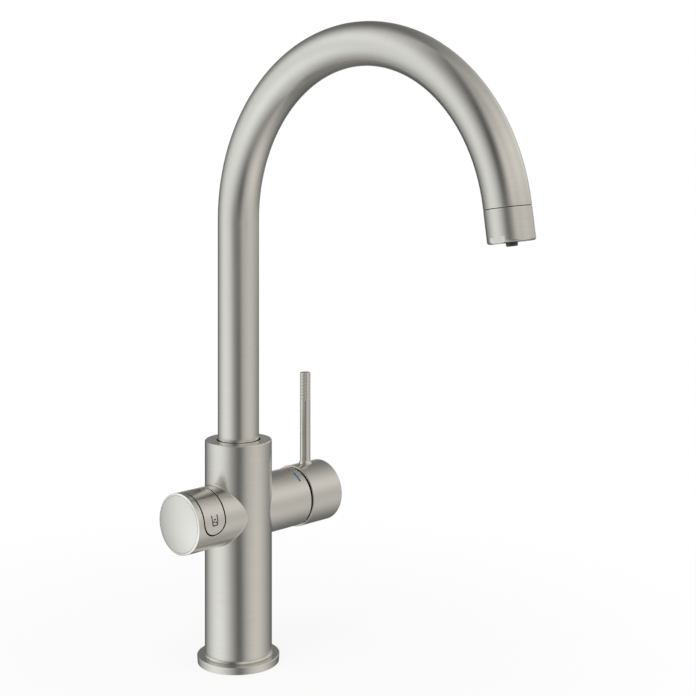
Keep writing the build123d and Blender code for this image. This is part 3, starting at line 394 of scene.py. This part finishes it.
def along_bow(tree, spot):
    """Scratches across the tube, counted by the length run along its middle line."""
    at = add(tree, "ShaderNodeSeparateXYZ", [spot]).outputs
    up = add(tree, "ShaderNodeMath", [at["Z"], bow_z], operation="SUBTRACT")
    out = add(tree, "ShaderNodeMath", [at["Y"], bow_r], operation="ADD")
    lap = add(tree, "ShaderNodeMath", [up, out], operation="ARCTAN2")
    bent = add(tree, "ShaderNodeMath", [lap, bow_r], operation="MULTIPLY")
    above = add(tree, "ShaderNodeMath", [up, 0.0], operation="GREATER_THAN")
    run = add(tree, "ShaderNodeMix", {0: above, 2: up, 3: bent})
    laid = add(tree, "ShaderNodeCombineXYZ", [at["X"], at["Y"], run])
    return round_z(tree, laid.outputs[0])


tube_nickel = nickel("satin_nickel_tube", along_bow)
acetal = moulded("acetal_white", "#e3e2dc", 0.4)       # milky white with a waxy sheen
dress(tube_nickel, "spout_tube")
dress(brass, "swivel_spigot")
dress(steel, "spout_grub_screw")
dress(nitrile, "spigot_o_rings")
dress(acetal, "spout_bush_lower", "spout_bush_upper", "spout_stop_ring")

# Filtered water: a polythene hose runs up inside the spout, from the spigot to the nozzle. An
# acetal spider holds it in the middle of the tube.
dress(moulded("polythene_hose", "#c9d3dc", 0.35), "filtered_hose")     # pale, cloudy blue-white
dress(acetal, "hose_spider")

# Outlet: a brass head, plated like the tube, on a rubber washer. It holds a grey acetal insert
# with the tap-water jets, and the dark nozzle of the filtered water in its middle.
dress(tube_nickel, "outlet_head")
dress(nitrile, "seam_washer", "jet_gasket")
dress(moulded("acetal_grey", "#6b6d70", 0.45), "jet_insert")           # middle grey, rather dull
dress(moulded("acetal_dark", "#47474b", 0.28), "filtered_nozzle")      # dark, with a gleam

# Mixer cartridge: lapped ceramic discs in a glass-filled nylon housing, turned and tilted by an
# acetal carrier, with a brass nut over them and a steel dome over the nut.
nylon = moulded("nylon_grey", "#53565a", 0.45)                         # slate grey, rather dull
ceramic = moulded("lapped_ceramic", "#ebe8de", 0.15, ior=1.6)          # ivory, almost a mirror
dress(nitrile, "cartridge_seal")
dress(nylon, "cartridge_housing")
dress(ceramic, "fixed_disc", "moving_disc")
dress(acetal, "disc_driver", "mixer_carrier")
dress(steel, "lever_pivot_pin", "dome_cover")
dress(brass, "cartridge_nut")

# Lever cap: a cup turned from brass bar, which turns on the arm's own axis, so its scratches run
# round that too. A steel stem carries it on the pivot, and a grub screw holds it.


def round_x(tree, spot):
    """Scratches round a piece that lies along the arms."""
    return scratches(tree, spot, "x")


dress(nickel("satin_nickel_cap", round_x), "lever_cap")
dress(steel, "lever_stem", "lever_grub_screw")

# Lever rod: a solid steel bar with a small flare where it enters the cap, and a grip of diamond
# pits rolled into its top in staggered columns.
rod_low, rod_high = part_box("lever_rod")
rod_x = (rod_low[0] + rod_high[0]) / 2
rod_r = 3.7 * mm
rod_top = rod_high[2]
cap_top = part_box("lever_cap")[1][2]
flare = 1.0 * mm
flare_h = 2.4 * mm
flare_sink = 0.1 * mm          # the flare starts this far below the cap's crest
flare_rings = 8
rod_sink = 0.9 * mm            # the rod goes this far into the round top of the cap
tip_round = 0.6 * mm
tip_rings = 5
pit_columns = 14
pit_rows = 9
pit_pitch = 2.3 * mm
pit_half_w = 0.62 * mm
pit_half_h = 0.95 * mm
pit_depth = 0.32 * mm
pit_bowl = 0.6                 # below 1, a pit's floor is rounder than a pyramid
first_row = 0.25               # in pitches above the grip's lower end
grip_low = rod_top - 20.4 * mm
grip_rings = 80
round_steps = pit_columns * 8
profile = [(rod_r + flare, cap_top - rod_sink)]
for step in range(flare_rings + 1):
    share = step / flare_rings
    swell = flare * (1 - math.sin(share * math.pi / 2))
    profile.append((rod_r + swell, cap_top - flare_sink + flare_h * share))
profile.append((rod_r, grip_low))
for step in range(1, grip_rings + 1):
    share = step / grip_rings
    profile.append((rod_r, grip_low + (rod_top - tip_round - grip_low) * share))
for step in range(1, tip_rings + 1):
    lean = step / tip_rings * math.pi / 2
    inset = tip_round * (1 - math.cos(lean))
    drop = tip_round * (1 - math.sin(lean))
    profile.append((rod_r - inset, rod_top - drop))


def turned(name, outline, axis_x, steps):
    """A closed solid of revolution about an upright axis, from a list of radii and heights."""
    points = []
    for radius, z in outline:
        for k in range(steps):
            angle = 2 * math.pi * k / steps
            points.append((axis_x + radius * math.cos(angle), radius * math.sin(angle), z))
    faces = []
    for row in range(len(outline) - 1):
        for k in range(steps):
            a = row * steps + k
            b = row * steps + (k + 1) % steps
            faces.append((a, b, b + steps, a + steps))
    faces.append(tuple(reversed(range(steps))))
    faces.append(tuple(range((len(outline) - 1) * steps, len(outline) * steps)))
    made = bpy.data.meshes.new(name)
    made.from_pydata(points, [], faces)
    made.shade_smooth()
    thing = bpy.data.objects.new(name, made)
    bpy.context.scene.collection.objects.link(thing)
    return thing


def pitted(material, titles):
    """A node tree that presses staggered diamond pits into an upright bar."""
    tree = bpy.data.node_groups.new("rolled_grip", "GeometryNodeTree")
    face = tree.interface
    face.new_socket("Geometry", in_out="OUTPUT", socket_type="NodeSocketGeometry")
    face.new_socket("Geometry", in_out="INPUT", socket_type="NodeSocketGeometry")
    for title in titles:
        face.new_socket(title, in_out="INPUT", socket_type="NodeSocketFloat")
    given = add(tree, "NodeGroupInput").outputs
    at = add(tree, "ShaderNodeSeparateXYZ", [add(tree, "GeometryNodeInputPosition")]).outputs
    x = add(tree, "ShaderNodeMath", [at["X"], given["Axis"]], operation="SUBTRACT")
    # columns: how far round the bar a point is from the middle of the nearest one
    lap = add(tree, "ShaderNodeMath", [at["Y"], x], operation="ARCTAN2")
    apart = add(tree, "ShaderNodeMath", [2 * math.pi, given["Columns"]], operation="DIVIDE")
    column = add(tree, "ShaderNodeMath", [lap, apart], operation="DIVIDE")
    nearest = add(tree, "ShaderNodeMath", [column], operation="ROUND")
    off = add(tree, "ShaderNodeMath", [column, nearest], operation="SUBTRACT")
    off = add(tree, "ShaderNodeMath", [off], operation="ABSOLUTE")
    arc = add(tree, "ShaderNodeMath", [apart, given["Radius"]], operation="MULTIPLY")
    aside = add(tree, "ShaderNodeMath", [off, arc], operation="MULTIPLY")
    # rows: every second column starts half a pitch higher
    odd = add(tree, "ShaderNodeMath", [nearest, 2.0], operation="MODULO")
    odd = add(tree, "ShaderNodeMath", [odd], operation="ABSOLUTE")
    start = add(tree, "ShaderNodeMath", [odd, 0.5, given["First row"]], operation="MULTIPLY_ADD")
    climb = add(tree, "ShaderNodeMath", [at["Z"], given["Low"]], operation="SUBTRACT")
    climb = add(tree, "ShaderNodeMath", [climb, given["Pitch"]], operation="DIVIDE")
    row = add(tree, "ShaderNodeMath", [climb, start], operation="SUBTRACT")
    whole = add(tree, "ShaderNodeMath", [row], operation="ROUND")
    gap = add(tree, "ShaderNodeMath", [row, whole], operation="SUBTRACT")
    gap = add(tree, "ShaderNodeMath", [gap], operation="ABSOLUTE")
    above = add(tree, "ShaderNodeMath", [gap, given["Pitch"]], operation="MULTIPLY")
    # each pit is deepest in its middle and runs out to a diamond
    wide = add(tree, "ShaderNodeMath", [aside, given["Half width"]], operation="DIVIDE")
    high = add(tree, "ShaderNodeMath", [above, given["Half height"]], operation="DIVIDE")
    edge = add(tree, "ShaderNodeMath", [wide, high], operation="ADD")
    inner = add(tree, "ShaderNodeMath", [1.0, edge], operation="SUBTRACT", use_clamp=True)
    inner = add(tree, "ShaderNodeMath", [inner, given["Bowl"]], operation="POWER")
    low_ok = add(tree, "ShaderNodeMath", [whole, -0.5], operation="GREATER_THAN")
    last = add(tree, "ShaderNodeMath", [given["Rows"], 0.5], operation="SUBTRACT")
    high_ok = add(tree, "ShaderNodeMath", [whole, last], operation="LESS_THAN")
    inner = add(tree, "ShaderNodeMath", [inner, low_ok], operation="MULTIPLY")
    inner = add(tree, "ShaderNodeMath", [inner, high_ok], operation="MULTIPLY")
    press = add(tree, "ShaderNodeMath", [inner, given["Depth"]], operation="MULTIPLY")
    press = add(tree, "ShaderNodeMath", [press, given["Radius"]], operation="DIVIDE")
    share = add(tree, "ShaderNodeMath", [press, -1.0], operation="MULTIPLY")
    inward = add(tree, "ShaderNodeCombineXYZ", [x, at["Y"]])
    push = add(tree, "ShaderNodeVectorMath", {0: inward, "Scale": share}, operation="SCALE")
    moved = add(tree, "GeometryNodeSetPosition", {0: given["Geometry"], "Offset": push})
    real = add(tree, "GeometryNodeRealizeInstances", [moved])
    painted = add(tree, "GeometryNodeSetMaterial", {0: real, "Material": material})
    add(tree, "NodeGroupOutput", [painted])
    return tree


def grown(thing, tree, values):
    """Runs a node tree on a piece with these values, and leaves the result as a plain mesh."""
    step = thing.modifiers.new(tree.name, "NODES")
    step.node_group = tree
    for item in tree.interface.items_tree:
        if item.in_out == "INPUT" and item.name in values:
            step[item.identifier] = values[item.name]
    ready = thing.evaluated_get(bpy.context.evaluated_depsgraph_get())
    result = bpy.data.meshes.new_from_object(ready)
    thing.modifiers.remove(step)
    thing.data = result


grip = {
    "Axis": rod_x,
    "Radius": rod_r,
    "Low": grip_low,
    "Rows": float(pit_rows),
    "Columns": float(pit_columns),
    "Pitch": pit_pitch,
    "First row": first_row,
    "Half width": pit_half_w,
    "Half height": pit_half_h,
    "Depth": pit_depth,
    "Bowl": pit_bowl,
}
rod_steel = nickel("satin_steel_bar", round_z, edge_r=0.1 * mm)
rod = turned("lever_rod_gripped", profile, rod_x, round_steps)
grown(rod, pitted(rod_steel, grip), grip)
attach(rod, "lever")
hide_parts("lever_rod")

# End disc: it closes the key arm. It is spun to a shallow crown and polished finer than the arm,
# with faint rings about its middle. Its colour is painted lighter than the arm's, to stand in for
# the brighter light on it.
axis_z = sum(corner[2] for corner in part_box("end_disc")) / 2
fine_polish = (0.15, 0.19)


def rings(tree, spot):
    """Rings about the arm's axis, counted by the distance from it."""
    at = add(tree, "ShaderNodeSeparateXYZ", [spot]).outputs
    up = add(tree, "ShaderNodeMath", [at["Z"], axis_z], operation="SUBTRACT")
    across = add(tree, "ShaderNodeCombineXYZ", [at["Y"], up])
    out = add(tree, "ShaderNodeVectorMath", [across], operation="LENGTH").outputs["Value"]
    laid = add(tree, "ShaderNodeCombineXYZ", [0.0, 0.0, out])
    return round_z(tree, laid.outputs[0])


# painted light: a lighter nickel than the arm's, for the disc's brighter look
spun = nickel("spun_nickel", rings, light="#e8e5de", dark="#e5e2da", rough=fine_polish)
dress(spun, "end_disc")

# Key band: cut from the arm's own stock, with three glasses printed in dark ink. Under it are the
# nylon chassis with the board, the switches and the rocker.
dress(nickel("satin_nickel_band", round_x, edge_r=0.15 * mm), "key_band")
black_nylon = moulded("moulded_nylon_black", "#1c1c1d", 0.5)           # black, with a soft sheen
laminate = moulded("green_laminate", "#1d5634", 0.25)                  # deep green under lacquer
dress(moulded("printed_ink", "#262628", 0.5), "key_icons")             # flat, not quite black
dress(black_nylon, "key_chassis", "key_switches")
dress(steel, "chassis_screws", "rocker_pin", "key_return_spring")
dress(acetal, "key_yoke", "cable_socket")
dress(laminate, "keypad_board")

# Return spring: three and a half turns of steel wire that stand on the chassis under the yoke, and
# get shorter as the band is pressed. A copy of the imported coil, with its doubled points merged,
# takes its place here.
same_point = 0.001 * mm
spring_low, spring_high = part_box("key_return_spring")
spring_foot = [(low + high) / 2 for low, high in zip(spring_low, spring_high)]
spring_foot[2] = spring_low[2]
mesh = parts["key_return_spring"].data.copy()
mesh.materials.clear()
mesh.materials.append(steel)
wire = bmesh.new()
wire.from_mesh(mesh)
bmesh.ops.remove_doubles(wire, verts=wire.verts, dist=same_point)
wire.to_mesh(mesh)
wire.free()
coil = bpy.data.objects.new("key_return_coil", mesh)
bpy.context.scene.collection.objects.link(coil)
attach(coil, "tap_body")
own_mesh(coil)
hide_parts("key_return_spring")
